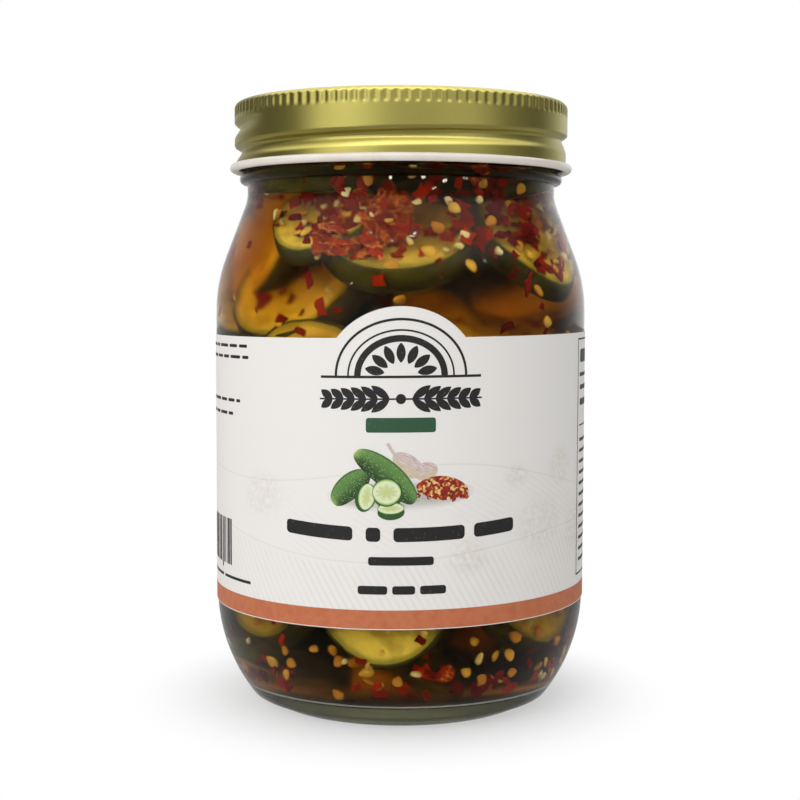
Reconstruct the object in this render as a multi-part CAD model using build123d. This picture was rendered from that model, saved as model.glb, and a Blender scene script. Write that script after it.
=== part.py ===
from build123d import *
import os
from math import asin, cos, pi, radians, sin, sqrt, tau

# Pint jar of pickle slices in brine, with a screw lid and a wrap-round paper label.
# Origin: centre of the foot, on the surface the jar stands on. +Z is up along the jar's
# axis. The middle of the label faces -Y. All lengths are in millimetres.

# ---------------------------------------------------------------- overall
height = 130.1            # foot to the top of the lid's edge
body_r = 40.5             # outside of the glass at the straight panel that the label is on
wall = 2.4                # thickness of the glass

# ---------------------------------------------------------------- metal lid
lid_h = 14.9
lid_r = 36.35             # outside of the knurled edge and the upper skirt
tin = 0.45                # thickness of the metal
lid_corner_r = 1.3
panel_drop = 0.8          # how far the middle panel lies below the lid's edge
panel_gap = 0.9           # room between that panel's step and the mouth
skirt_step = 0.3          # how far the skirt steps in at its break
skirt_break = 5.8         # height of that break above the bottom of the lid
curl_out = 1.05           # how far the rolled edge at the bottom stands out
curl_h = 1.75
knurl_count = 108
knurl_h = 3.1
knurl_depth = 0.35
knurl_width = 1.35
thread_pitch = 5.08       # rise in one turn of the groove pressed into the skirt
thread_turns = 1.2
thread_start = -215.0     # degrees round from +X to where the groove starts
thread_front = 5.55       # height of the groove above the bottom of the lid, at -Y
thread_groove_r = 2.0     # radius of the groove's round section
thread_depth = 1.25

# ---------------------------------------------------------------- neck and shoulder
thread_gap = 0.45         # room between the pressed thread and the glass inside the lid
rim_round = 0.8
bead_gap_r = 0.3          # the glass ring just under the lid is this much narrower than its skirt
bead_gap_z = 0.2          # and lies this far below it
bead_h = 2.5
bead_corner = 0.8
neck_step = 1.7           # how far the neck lies inside that ring
neck_h = 1.7              # straight part of the neck, below the ring
neck_curve_r = 8.3        # radius of the curve that leads into the neck
shoulder_slope = 21.0     # degrees from upright, between the two curves of the shoulder
shoulder_r = 34.0         # radius of the shoulder's outward curve

# ---------------------------------------------------------------- heel and base
heel_r = 36.7             # radius of the heel's curve
heel_top = 24.0           # height where the heel's curve meets the panel
heel_low = 1.9            # height where it meets the foot
foot_step = 2.8           # how far the foot lies inside the end of the heel
foot_h = 1.1
bearing_step = 1.3        # how far the ring that the jar stands on lies inside the foot
bearing_w = 4.4
kick_h = 2.2              # hollow under the middle of the base
floor_z = 5.4             # inside floor, at its edge
floor_rise = 1.4          # how much the inside floor rises to its middle
floor_corner_r = 4.0      # inside corner between floor and heel

# ---------------------------------------------------------------- contents
fill_up = 2.0             # level of the brine above the bottom of the lid's skirt

# ---------------------------------------------------------------- paper label
label_t = 0.15
label_from_shoulder = 4.4  # bare panel above the label
label_over_heel = 1.3     # how far the label reaches below the panel
label_gap = 12.0          # bare glass between the label's two ends, at the back
label_lean = 0.6          # degrees; the label was put on a little crooked
tab_h = 6.2               # arched tab in the middle of the label's top edge
tab_half_w = 12.9

# Heights and radii that follow from those sizes
lid_low = height - lid_h
rim_z = height - tin                    # the lid's edge rests on the rim
finish_r = lid_r - thread_depth - tin - thread_gap
lower_skirt_r = lid_r - skirt_step
bead_r = lower_skirt_r - tin - bead_gap_r
bead_top = lid_low - bead_gap_z
bead_low = bead_top - bead_h
neck_r = bead_r - neck_step
mouth_r = neck_r - wall
neck_z = bead_low - neck_h
lean = radians(shoulder_slope)
shoulder_run = neck_r + neck_curve_r + shoulder_r - body_r
shoulder_rise = (shoulder_r + neck_curve_r - shoulder_run * cos(lean)) / sin(lean)
shoulder_low = neck_z - shoulder_rise
label_low = heel_top - label_over_heel
label_top = shoulder_low - label_from_shoulder


def revolved(edges):
    """Solid of revolution about Z from edges in the XZ plane that close on the axis."""
    return revolve(Plane.XZ * make_face(edges), Axis.Z)


def chain(*points):
    return Polyline(*points).edges()


def arc_about(centre, radius, first, last):
    """Arc from the direction first to the direction last, in radians, about a centre."""
    middle = (first + last) / 2
    ends = [(centre[0] + radius * cos(a), centre[1] + radius * sin(a)) for a in (first, middle, last)]
    return ThreePointArc(*ends), ends[0], ends[-1]


def side(inset):
    """Shoulder and neck, from the top of the panel to the neck, at a depth in the glass:
    two curves and the straight slope that is tangent to both."""
    low = (body_r - shoulder_r, shoulder_low)
    high = (neck_r + neck_curve_r, neck_z)
    shoulder, _, shoulder_end = arc_about(low, shoulder_r - inset, 0, lean)
    neck, neck_start, neck_end = arc_about(high, neck_curve_r + inset, pi + lean, pi)
    return [shoulder, Line(shoulder_end, neck_start), neck], neck_end


def outer_jar():
    """The jar as a full block of glass, with the hollow under its base."""
    centre = (body_r - heel_r, heel_top)
    drop = -asin((heel_top - heel_low) / heel_r)
    heel, heel_start, heel_end = arc_about(centre, heel_r, drop, 0)
    slope, neck_end = side(0)
    foot_r = heel_start[0] - foot_step
    bearing_r = foot_r - bearing_step
    kick_r = bearing_r - bearing_w
    kick = ThreePointArc((0, kick_h), (kick_r / 2, kick_h * 0.75), (kick_r, 0))
    foot = chain((kick_r, 0), (bearing_r, 0), (foot_r, foot_h), heel_start)
    panel = Line(heel_end, (body_r, shoulder_low))
    finish = chain(
        neck_end,
        (neck_r, bead_low),
        (bead_r, bead_low + bead_corner),
        (bead_r, bead_top - bead_corner),
        (bead_r - bead_corner, bead_top),
        (finish_r, bead_top),
        (finish_r, rim_z - rim_round),
        (finish_r - rim_round, rim_z),
        (0, rim_z),
        (0, kick_h),
    )
    return revolved([kick, *foot, heel, panel, *slope, *finish])


def cavity(top):
    """All that lies inside the glass, up to a height in the mouth."""
    big = (body_r - heel_r, heel_top)
    big_r = heel_r - wall
    corner_z = floor_z + floor_corner_r
    turn = -asin((heel_top - corner_z) / (big_r - floor_corner_r))
    corner = (big[0] + (big_r - floor_corner_r) * cos(turn), corner_z)
    rounded, floor_end, _ = arc_about(corner, floor_corner_r, -pi / 2, turn)
    heel, _, heel_end = arc_about(big, big_r, turn, 0)
    dome_z = floor_z + floor_rise
    dome = ThreePointArc((0, dome_z), (floor_end[0] / 2, floor_z + floor_rise * 0.75), floor_end)
    panel = Line(heel_end, (body_r - wall, shoulder_low))
    slope, neck_end = side(wall)
    mouth = chain(neck_end, (mouth_r, top), (0, top), (0, dome_z))
    return revolved([dome, rounded, heel, panel, *slope, *mouth])


def make_jar():
    return outer_jar() - cavity(rim_z + wall)


def make_contents():
    return cavity(lid_low + fill_up)


def thread_tube(cover):
    """Round tube along the lid's right-handed thread, larger all round by a cover."""
    path_r = lid_r - thread_depth + thread_groove_r
    longer = cover / (tau * path_r)
    path = Helix(thread_pitch, thread_pitch * (thread_turns + 2 * longer), path_r)
    section = Plane(origin=path @ 0, z_dir=path % 0) * Circle(thread_groove_r + cover)
    start = thread_start - 360 * longer
    start_z = lid_low + thread_front + thread_pitch * (start + 90) / 360
    return Pos(0, 0, start_z) * Rot(0, 0, start) * sweep(section, path, is_frenet=True)


def lid_shape(inset):
    """Outside of the lid, or with an inset of the metal's thickness its inside."""
    side_r = lid_r - inset
    lower_r = lower_skirt_r - inset
    top = height - inset
    corner = lid_corner_r - inset
    break_z = lid_low + skirt_break
    panel_z = top - panel_drop
    panel_r = mouth_r - panel_gap - (tin - inset) * (sqrt(2) - 1)
    rounded, top_end, side_end = arc_about((side_r - corner, top - corner), corner, pi / 2, 0)
    down = chain(
        side_end,
        (side_r, break_z),
        (lower_r, break_z - skirt_step),
        (lower_r, lid_low),
        (0, lid_low),
        (0, panel_z),
        (panel_r - panel_drop, panel_z),
        (panel_r, top),
        top_end,
    )
    return revolved([rounded, *down])


def flutes():
    """Shallow upright grooves that leave the knurled ribs between them."""
    flute_r = (knurl_width**2 / 4 + knurl_depth**2) / (2 * knurl_depth)
    flute = Cylinder(flute_r, knurl_h, align=(Align.CENTER, Align.CENTER, Align.MIN))
    places = PolarLocations(lid_r - knurl_depth + flute_r, knurl_count)
    return [Pos(0, 0, height - knurl_h) * place * flute for place in places]


def make_lid():
    outside = lid_shape(0) - thread_tube(0)
    inside = lid_shape(tin) - thread_tube(tin)
    roll_r = curl_h / 2
    roll = Torus(lid_r + curl_out - roll_r, roll_r)
    return outside + Pos(0, 0, lid_low + roll_r) * roll - inside - flutes()


def make_label():
    """Paper wrapped round the panel, open at the back, with an arched tab in front."""
    upright = (Align.CENTER, Align.CENTER, Align.MIN)
    wide = 3 * body_r
    sheet = Cylinder(body_r + label_t, height, align=upright) - Cylinder(body_r, height, align=upright)
    wrap = Pos(0, 0, label_low) * Box(wide, wide, label_top - label_low, align=upright)
    arch_r = (tab_half_w**2 + tab_h**2) / (2 * tab_h)
    arch = Rot(90, 0, 0) * Cylinder(arch_r, wide, align=upright)
    arch = Pos(0, 0, label_top + tab_h - arch_r) * arch
    tab = arch & Pos(0, 0, label_top - tab_h) * Box(wide, wide, 3 * tab_h, align=upright)
    tilt = Pos(0, 0, label_low) * Rot(0, -label_lean, 0) * Pos(0, 0, -label_low)
    gap = Box(label_gap, wide, height, align=(Align.CENTER, Align.MIN, Align.MIN))
    return sheet & tilt * (wrap + tab) - gap


def main():
    os.makedirs("parts", exist_ok=True)
    nodes = {
        "jar": make_jar(),
        "contents": make_contents(),
        "lid": make_lid(),
        "label": make_label(),
    }
    for name, shape in nodes.items():
        export_step(shape, f"parts/{name}.step")


main()
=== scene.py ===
from math import asin, atan2, cos, hypot, pi, radians, sin, sqrt, tan, tau

import bpy
import numpy as np
from mathutils import Matrix, Vector, noise


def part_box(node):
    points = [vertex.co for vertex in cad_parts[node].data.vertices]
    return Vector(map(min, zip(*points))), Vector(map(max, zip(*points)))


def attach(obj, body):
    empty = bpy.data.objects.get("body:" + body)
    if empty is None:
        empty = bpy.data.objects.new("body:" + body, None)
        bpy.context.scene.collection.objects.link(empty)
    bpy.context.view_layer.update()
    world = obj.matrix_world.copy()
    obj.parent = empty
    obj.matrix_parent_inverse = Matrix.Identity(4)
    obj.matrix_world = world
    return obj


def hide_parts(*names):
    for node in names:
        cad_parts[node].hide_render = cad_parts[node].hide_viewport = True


bl_info = {
    "name": "Pickle Jar",
    "version": (1, 0, 0),
    "blender": (4, 5, 0),
    "location": "View3D > Sidebar > Pickle Jar",
    "description": "Glass, brine, pickle slices, spices, lid and label of a pint jar",
    "category": "Object",
}

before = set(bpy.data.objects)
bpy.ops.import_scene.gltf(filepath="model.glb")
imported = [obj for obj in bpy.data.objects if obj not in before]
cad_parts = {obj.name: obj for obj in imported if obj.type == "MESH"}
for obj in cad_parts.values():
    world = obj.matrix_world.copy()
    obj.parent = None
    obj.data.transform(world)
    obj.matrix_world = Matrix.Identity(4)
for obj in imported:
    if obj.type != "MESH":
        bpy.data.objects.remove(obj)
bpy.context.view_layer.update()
_, jar_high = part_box("jar")
brine_low, brine_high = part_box("contents")
lid_low, lid_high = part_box("lid")

MM = 0.001

# Outline of the glass, in metres. Heights are above the surface the jar stands on.
BODY_R = jar_high.x
WALL = BODY_R - brine_high.x
RIM_Z = jar_high.z
LID_Z = lid_low.z
LID_TOP = lid_high.z
LID_R = 36.35 * MM
TIN = LID_TOP - RIM_Z
FINISH_R = LID_R - 2.15 * MM  # behind the pressed thread, the metal and some room
BEAD_R = LID_R - 1.05 * MM  # the glass ring just under the lid
BEAD_TOP = LID_Z - 0.2 * MM
BEAD_H = 2.5 * MM
NECK_STEP = 1.7 * MM
NECK_H = 1.7 * MM
NECK_R = BEAD_R - NECK_STEP
NECK_Z = BEAD_TOP - BEAD_H - NECK_H
NECK_CURVE_R = 8.3 * MM
RIM_ROUND = 0.8 * MM
LEAN = radians(21)
SHOULDER_R = 34 * MM
SHOULDER_RUN = NECK_R + NECK_CURVE_R + SHOULDER_R - BODY_R
SHOULDER_Z = NECK_Z - (SHOULDER_R + NECK_CURVE_R - SHOULDER_RUN * cos(LEAN)) / sin(LEAN)
HEEL_R = 36.7 * MM
HEEL_TOP = 24 * MM
HEEL_LOW = 1.9 * MM
FOOT_STEP = 2.8 * MM  # how far the foot lies inside the end of the heel
BEARING_STEP = 1.3 * MM  # how far the ring that the jar stands on lies inside the foot
BEARING_W = 4.4 * MM
KICK_H = 2.2 * MM  # hollow under the middle of the base
FLOOR_Z = brine_low.z
FLOOR_RISE = 1.4 * MM
FLOOR_CORNER_R = 4 * MM
FLOOR_STEPS = 12
LEVEL = brine_high.z

# The label, as a flat sheet: s runs round the jar from its front, v is height.
LABEL_R = BODY_R
LABEL_T = 0.15 * MM
LABEL_OVER_HEEL = 1.3 * MM
LABEL_FROM_SHOULDER = 4.4 * MM
LABEL_GAP = 12 * MM  # bare glass between the label's two ends
LABEL_V0 = HEEL_TOP - LABEL_OVER_HEEL
LABEL_V1 = SHOULDER_Z - LABEL_FROM_SHOULDER
PAPER_LIFT = 0.02 * MM  # air between glass and paper
INK_LIFT = 0.03 * MM
LABEL_TILT = radians(0.6)
TAB_H = 6.2 * MM
TAB_HALF = 12.9 * MM

# The lid
LID_CORNER = 1.3 * MM
PANEL_DROP = 0.8 * MM
CURL_OUT = 1.05 * MM  # how far the rolled edge stands out
CURL_H = 1.75 * MM
KNURL_W = 1.45 * MM


def srgb(r, g, b):
    """Linear colour from 0-255 display values."""
    shown = (r / 255, g / 255, b / 255)
    return tuple(c / 12.92 if c <= 0.04045 else ((c + 0.055) / 1.055) ** 2.4 for c in shown)


def length(name, about, value):
    return bpy.props.FloatProperty(
        name=name, description=about, default=value, unit="LENGTH", precision=5
    )


def colour(name, about, value):
    return bpy.props.FloatVectorProperty(
        name=name, description=about, default=value, subtype="COLOR", size=3, min=0, max=1
    )


class JarSizes(bpy.types.PropertyGroup):
    glass_steps: bpy.props.IntProperty(
        name="Glass steps", description="Divisions round the jar", default=192, min=32
    )
    slice_radius: length("Slice radius", "Middle radius of a pickle slice", 14 * MM)
    slice_thickness: length("Slice thickness", "Thickness of a pickle slice", 5.6 * MM)
    brine_overlap: length("Brine overlap", "How far the brine reaches into the glass wall", 0.08 * MM)
    knurl_count: bpy.props.IntProperty(
        name="Knurl ribs", description="Ribs round the lid's top edge", default=108, min=12
    )
    knurl_depth: length("Knurl depth", "Depth of the grooves between the ribs", 0.22 * MM)
    thread_depth: length("Thread depth", "Depth of the screw thread pressed into the lid", 1.25 * MM)
    thread_pitch: length("Thread pitch", "Rise of the thread in one turn", 5.08 * MM)


class JarColours(bpy.types.PropertyGroup):
    glass: colour("Glass", "Tint that thick glass takes", (0.74, 0.74, 0.62))
    glass_depth: bpy.props.FloatProperty(
        name="Glass strength",
        description="How fast thick glass darkens, per metre",
        default=72.0,
        min=0,
    )
    glass_shine: bpy.props.FloatProperty(
        name="Glass shine",
        description="Strength of the mirror images in the glass",
        default=0.07,
        min=0,
        max=1,
    )
    brine: colour("Brine", "Colour that the brine turns light with depth", (0.871, 0.709, 0.0))
    brine_depth: bpy.props.FloatProperty(
        name="Brine strength", description="How fast the brine darkens, per metre", default=130.0, min=0
    )
    brine_cloud: bpy.props.FloatProperty(
        name="Brine cloud",
        description="How much the brine softens what lies deep in it",
        default=0.23,
        min=0,
        max=1,
    )
    flesh: colour("Flesh", "Cut face of a pickle slice", srgb(232, 205, 90))
    skin: colour("Skin", "Rind of a pickle slice", srgb(52, 48, 12))
    pepper: colour("Red pepper", "Flakes of dried red pepper", srgb(174, 40, 4))
    seed: colour("Seed", "Pepper seeds", srgb(236, 200, 92))
    garlic: colour("Garlic", "Minced garlic", srgb(232, 216, 168))
    gold: colour("Lid", "Gold lacquer on the lid", srgb(176, 166, 92))
    roll: colour("Rolled edge", "Cream enamel on the lid's rolled edge", srgb(232, 225, 215))
    paper: colour("Paper", "Label paper", srgb(236, 233, 229))
    ink: colour("Ink", "Dark print on the label", srgb(32, 30, 30))
    band: colour("Band", "Band along the label's lower edge", srgb(196, 116, 76))
    green: colour("Green print", "Small green bar on the label", srgb(44, 84, 58))


class JarStage(bpy.types.PropertyGroup):
    fill_light: bpy.props.FloatProperty(
        name="Fill", description="Brightness of the soft light all round", default=0.62, min=0
    )
    brine_light: bpy.props.FloatProperty(
        name="Brine light",
        description="Brightness of the light that reaches the pickles",
        default=3.6,
        min=0,
    )
    key_power: bpy.props.FloatProperty(
        name="Key", description="Power of the large front lamp", default=3.0, min=0, unit="POWER"
    )
    camera_lens: bpy.props.FloatProperty(
        name="Lens", description="Focal length of the camera", default=68.74, min=10, unit="CAMERA"
    )


# ---------------------------------------------------------------- shader expressions


class Shade:
    """A socket in a material. Arithmetic on it adds the Math nodes that do the sum."""

    def __init__(self, nodes, socket):
        self.nodes, self.socket = nodes, socket

    def math(self, operation, *values):
        return self.nodes.add("ShaderNodeMath", {"operation": operation}, dict(enumerate(values)))

    def __add__(self, other):
        return self.math("ADD", self, other)

    def __sub__(self, other):
        return self.math("SUBTRACT", self, other)

    def __rsub__(self, other):
        return self.math("SUBTRACT", other, self)

    def __mul__(self, other):
        return self.math("MULTIPLY", self, other)

    def __truediv__(self, other):
        return self.math("DIVIDE", self, other)

    def __pow__(self, other):
        return self.math("POWER", self, other)

    def __gt__(self, other):
        return self.math("GREATER_THAN", self, other)

    def __lt__(self, other):
        return self.math("LESS_THAN", self, other)

    def __abs__(self):
        return self.math("ABSOLUTE", self)

    __radd__ = __add__
    __rmul__ = __mul__

    def at_least(self, other):
        return self.math("MAXIMUM", self, other)

    def at_most(self, other):
        return self.math("MINIMUM", self, other)

    def wave(self):
        return self.math("SINE", self)

    def angle(self, across):
        """Angle in radians whose tangent is this value over another."""
        return self.math("ARCTAN2", self, across)

    def ramp(self, low, high, to_low=0.0, to_high=1.0):
        """Smooth step from to_low to to_high as the value goes from low to high."""
        return self.nodes.add(
            "ShaderNodeMapRange",
            {"interpolation_type": "SMOOTHSTEP"},
            {0: self, 1: low, 2: high, 3: to_low, 4: to_high},
        )


class Nodes:
    """A node tree whose nodes are added one by one."""

    def __init__(self, tree):
        self.tree = tree

    def feed(self, socket, value):
        if isinstance(value, Shade):
            self.tree.links.new(value.socket, socket)
        elif socket.type == "RGBA" and len(value) == 3:
            socket.default_value = (*value, 1)
        else:
            socket.default_value = value

    def add(self, kind, settings=None, inputs=None, output=0):
        """A node of any kind: its settings first, then the values or links of its sockets."""
        node = self.tree.nodes.new(kind)
        for name, value in (settings or {}).items():
            setattr(node, name, value)
        for name, value in (inputs or {}).items():
            self.feed(node.inputs[name], value)
        return Shade(self, node.outputs[output])

    def stops(self, value, *stops):
        """Colour that follows a value through stops, each a place and a colour."""
        found = self.add("ShaderNodeValToRGB", None, {0: value})
        elements = found.socket.node.color_ramp.elements
        while len(elements) < len(stops):
            elements.new(0.5)
        for element, (place, _) in zip(elements, stops):
            element.position = place
        for element, (_, shade) in zip(elements, stops):
            element.color = (*shade, 1)
        return found

    def mix(self, factor, low, high):
        """Colour between low and high."""
        return self.add("ShaderNodeMix", {"data_type": "RGBA"}, {0: factor, 6: low, 7: high}, output=2)

    def blend(self, factor, low, high):
        """Number between low and high."""
        return self.add("ShaderNodeMix", {"data_type": "FLOAT"}, {0: factor, 2: low, 3: high})

    def place(self):
        return self.add("ShaderNodeTexCoord", output="Object")

    def attribute(self, name, output="Fac"):
        return self.add("ShaderNodeAttribute", {"attribute_name": name}, output=output)

    def xyz(self, vector):
        node = self.add("ShaderNodeSeparateXYZ", None, {0: vector}).socket.node
        return [Shade(self, socket) for socket in node.outputs]

    def vectors(self, operation, one, other):
        return self.add("ShaderNodeVectorMath", {"operation": operation}, {0: one, 1: other})

    def noise(self, scale, detail=2.0, vector=None, rough=0.5):
        inputs = {"Vector": vector or self.place(), "Scale": scale}
        inputs.update(Detail=detail, Roughness=rough)
        return self.add("ShaderNodeTexNoise", None, inputs, output="Fac")

    def cells(self, vector, output="Distance", **inputs):
        """Voronoi cells."""
        inputs["Vector"] = vector
        return self.add("ShaderNodeTexVoronoi", {"feature": "F1"}, inputs, output)

    def light_path(self):
        """Function that gives an output of the Light Path node by its name."""
        outputs = self.add("ShaderNodeLightPath").socket.node.outputs
        return lambda name: Shade(self, outputs[name])


class Material(Nodes):
    """A material whose nodes end in a Principled shader."""

    def __init__(self, name, **settings):
        self.material = bpy.data.materials.new(name)
        self.material.use_nodes = True
        super().__init__(self.material.node_tree)
        self.shader = self.tree.nodes["Principled BSDF"]
        self.set(**settings)

    def set(self, **settings):
        """Values or sockets for the Principled shader, by the names of its inputs."""
        for name, value in settings.items():
            self.feed(self.shader.inputs[name.replace("_", " ")], value)

    def bump(self, height, distance, strength=1.0):
        inputs = {"Height": height, "Distance": distance, "Strength": strength}
        self.set(Normal=self.add("ShaderNodeBump", None, inputs, output="Normal"))

    def result(self, shader, socket):
        """Links a shader to the surface or the volume of the material's output."""
        self.tree.links.new(shader.socket, self.tree.nodes["Material Output"].inputs[socket])

    def absorb(self, colour, density):
        """Takes up light on its way through."""
        inputs = {"Color": tuple(colour), "Density": density}
        self.result(self.add("ShaderNodeVolumeAbsorption", None, inputs), "Volume")


# ---------------------------------------------------------------- modelling helpers


def let_go():
    bpy.ops.object.select_all(action="DESELECT")


def take(piece):
    """Selects one piece alone and makes it the active one."""
    let_go()
    piece.select_set(True)
    bpy.context.view_layer.objects.active = piece


def edit(piece):
    take(piece)
    bpy.ops.object.mode_set(mode="EDIT")
    bpy.ops.mesh.select_all(action="SELECT")


def done():
    bpy.ops.object.mode_set(mode="OBJECT")


def edit_faces(piece, chosen):
    """Edit mode with only the chosen faces selected."""
    edit(piece)
    bpy.ops.mesh.select_mode(type="FACE")
    bpy.ops.mesh.select_all(action="DESELECT")
    done()
    for face in piece.data.polygons:
        face.select = chosen(face)
    bpy.ops.object.mode_set(mode="EDIT")


def named(name):
    piece = bpy.context.active_object
    piece.name = piece.data.name = name
    return piece


def settle_place(piece):
    """Puts a piece's place, turn and size into its mesh."""
    take(piece)
    bpy.ops.object.transform_apply(location=True, rotation=True, scale=True)


def smooth(piece, degrees):
    take(piece)
    bpy.ops.object.shade_smooth_by_angle(angle=radians(degrees))


def apply(piece, kind, **settings):
    take(piece)
    modifier = piece.modifiers.new(kind.title(), kind)
    for name, value in settings.items():
        setattr(modifier, name, value)
    bpy.ops.object.modifier_apply(modifier=modifier.name)


def points_of(piece):
    found = np.empty(len(piece.data.vertices) * 3)
    piece.data.vertices.foreach_get("co", found)
    return found.reshape(-1, 3)


def joined(name, parts):
    """The parts joined as one piece."""
    let_go()
    for part in parts:
        part.select_set(True)
    bpy.context.view_layer.objects.active = parts[0]
    bpy.ops.object.join()
    return named(name)


def keep_place(piece, values):
    """Keeps a vector for each point, which the material draws its pattern by."""
    kept = piece.data.attributes.new("cut_place", "FLOAT_VECTOR", "POINT")
    kept.data.foreach_set("vector", values.astype(np.float32).ravel())


def move_points(piece, points):
    piece.data.vertices.foreach_set("co", np.asarray(points, float).ravel())
    piece.data.update()


def finish(piece, material, slot, *replaced):
    piece.data.materials.clear()
    piece.data.materials.append(material.material)
    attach(piece, "root")
    if replaced:
        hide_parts(*replaced)


def arc(centre, radius, first, last, steps):
    """Points on an arc, without the first."""
    turns = [first + (last - first) * k / steps for k in range(1, steps + 1)]
    return [(centre[0] + radius * cos(a), centre[1] + radius * sin(a)) for a in turns]


def lathe(name, outline, steps, sectors=12):
    """A vertex is extruded along the outline and spun through one sector, which is repeated
    all round. The outline is pairs of radius and height."""
    let_go()
    bpy.ops.mesh.primitive_plane_add(size=MM, location=(0, 0, 0))
    piece = named(name)
    edit(piece)
    bpy.ops.mesh.merge(type="CENTER")
    bpy.ops.transform.translate(value=(outline[0][0], 0, outline[0][1]))
    for (r0, z0), (r1, z1) in zip(outline, outline[1:]):
        bpy.ops.mesh.extrude_region_move(TRANSFORM_OT_translate={"value": (r1 - r0, 0, z1 - z0)})
    bpy.ops.mesh.select_all(action="SELECT")
    turn = tau / sectors
    bpy.ops.mesh.spin(
        steps=steps // sectors, angle=turn, center=(0, 0, 0), axis=(0, 0, 1), use_auto_merge=False
    )
    done()
    settle_place(piece)
    copies = [piece.copy() for _ in range(sectors - 1)]
    for k, copy in enumerate(copies):
        copy.data = piece.data.copy()
        copy.data.transform(Matrix.Rotation(turn * (k + 1), 4, "Z"))
        bpy.context.scene.collection.objects.link(copy)
        copy.select_set(True)
    bpy.ops.object.join()
    edit(piece)
    bpy.ops.mesh.remove_doubles(threshold=2e-6)
    bpy.ops.mesh.normals_make_consistent(inside=False)
    done()
    return piece


# ---------------------------------------------------------------- the jar's outline


def side_points(inset, steps=14):
    """Shoulder and neck, from the top of the panel up to the neck, at a depth in the glass."""
    low = (BODY_R - SHOULDER_R, SHOULDER_Z)
    high = (NECK_R + NECK_CURVE_R, NECK_Z)
    shoulder = arc(low, SHOULDER_R - inset, 0, LEAN, steps)
    curve_r = NECK_CURVE_R + inset
    start = (high[0] + curve_r * cos(pi + LEAN), high[1] + curve_r * sin(pi + LEAN))
    neck = arc(high, curve_r, pi + LEAN, pi, 8)
    return [(BODY_R - inset, SHOULDER_Z), *shoulder, start, *neck]


def heel_points(steps=18):
    """Outside of the heel, from the foot up to the panel."""
    centre = (BODY_R - HEEL_R, HEEL_TOP)
    drop = -asin((HEEL_TOP - HEEL_LOW) / HEEL_R)
    start = (centre[0] + HEEL_R * cos(drop), centre[1] + HEEL_R * sin(drop))
    return [start, *arc(centre, HEEL_R, drop, 0, steps)]


def inner_points(inset):
    """Inside of the glass, from the middle of the floor up to the neck. A positive inset makes
    the hollow smaller."""
    big = (BODY_R - HEEL_R, HEEL_TOP)
    big_r = HEEL_R - WALL
    corner_z = FLOOR_Z + FLOOR_CORNER_R
    turn = -asin((HEEL_TOP - corner_z) / (big_r - FLOOR_CORNER_R))
    corner = (big[0] + (big_r - FLOOR_CORNER_R) * cos(turn), corner_z)
    edge_r = corner[0]
    dome = []
    for k in range(FLOOR_STEPS + 1):
        r = edge_r * k / FLOOR_STEPS
        dome.append((r, FLOOR_Z + FLOOR_RISE * (1 - (r / edge_r) ** 2) + inset))
    rounded = arc(corner, FLOOR_CORNER_R - inset, -pi / 2, turn, 8)
    heel = arc(big, big_r - inset, turn, 0, 16)
    return [*dome, *rounded, *heel, *side_points(WALL + inset)]


def glass_outline():
    foot = heel_points()[0]
    foot_r = foot[0] - FOOT_STEP
    bearing_r = foot_r - BEARING_STEP
    kick_r = bearing_r - BEARING_W
    kick = [(kick_r * k / 8, KICK_H * (1 - (k / 8) ** 2)) for k in range(8)]
    soft = 0.25 * MM
    base = [
        (kick_r - soft, 0.04 * MM),
        (kick_r + soft, 0),
        (bearing_r - soft, 0),
        (bearing_r + soft * 0.6, soft * 0.2),
        (foot_r - soft * 0.3, 0.85 * MM),
        (foot_r + soft, 1.12 * MM),
        (foot[0] - soft, foot[1] - 0.1 * MM),
    ]
    bead_low = BEAD_TOP - BEAD_H
    middle = (BEAD_TOP + bead_low) / 2
    half = BEAD_H / 2
    bead = []
    for k in range(13):
        a = -pi / 2 + pi * k / 12
        bulge = abs(cos(a)) ** 0.75
        bead.append((NECK_R + (BEAD_R - NECK_R) * bulge, middle + half * sin(a)))
    bead[-1] = (FINISH_R, BEAD_TOP)
    rim = [(FINISH_R, RIM_Z - RIM_ROUND)]
    rim += arc((FINISH_R - RIM_ROUND, RIM_Z - RIM_ROUND), RIM_ROUND, 0, pi / 2, 4)
    inner = inner_points(0)
    mouth = (inner[-1][0], RIM_Z - 0.3 * MM)
    neck = [(NECK_R, NECK_Z + 0.6 * MM), (NECK_R, bead_low - 0.2 * MM)]
    outer = [*kick, *base, *heel_points(), *side_points(0), *neck]
    return [*outer, *bead, *rim, (mouth[0] + 0.3 * MM, RIM_Z), mouth, *reversed(inner)]


INSIDE = inner_points(0)
FLOOR_RADII, FLOOR_HEIGHTS = zip(*INSIDE[: FLOOR_STEPS + 1])
WALL_RADII, WALL_HEIGHTS = zip(*INSIDE[FLOOR_STEPS:])


def inside_r(z):
    """Radius of the hollow at a height."""
    return float(np.interp(z, WALL_HEIGHTS, WALL_RADII))


# ---------------------------------------------------------------- glass and brine


class PICKLE_JAR_OT_glass(bpy.types.Operator):
    """Clear glass jar with a ring under the lid and a stepped foot"""

    bl_idname = "pickle_jar.glass"
    bl_label = "Glass jar"

    def execute(self, context):
        look = context.scene.jar_colours
        piece = lathe("jar_glass", glass_outline(), context.scene.jar_sizes.glass_steps)
        smooth(piece, 50)
        glass = Material(
            "clear_glass",
            Transmission_Weight=1.0,
            IOR=1.5,
            Roughness=0.0,
            Base_Color=(1, 1, 1),
            Specular_Tint=(look.glass_shine,) * 3,
        )
        glass.absorb(look.glass, look.glass_depth)
        finish(piece, glass, "jar_glass", "jar")
        return {"FINISHED"}


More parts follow.
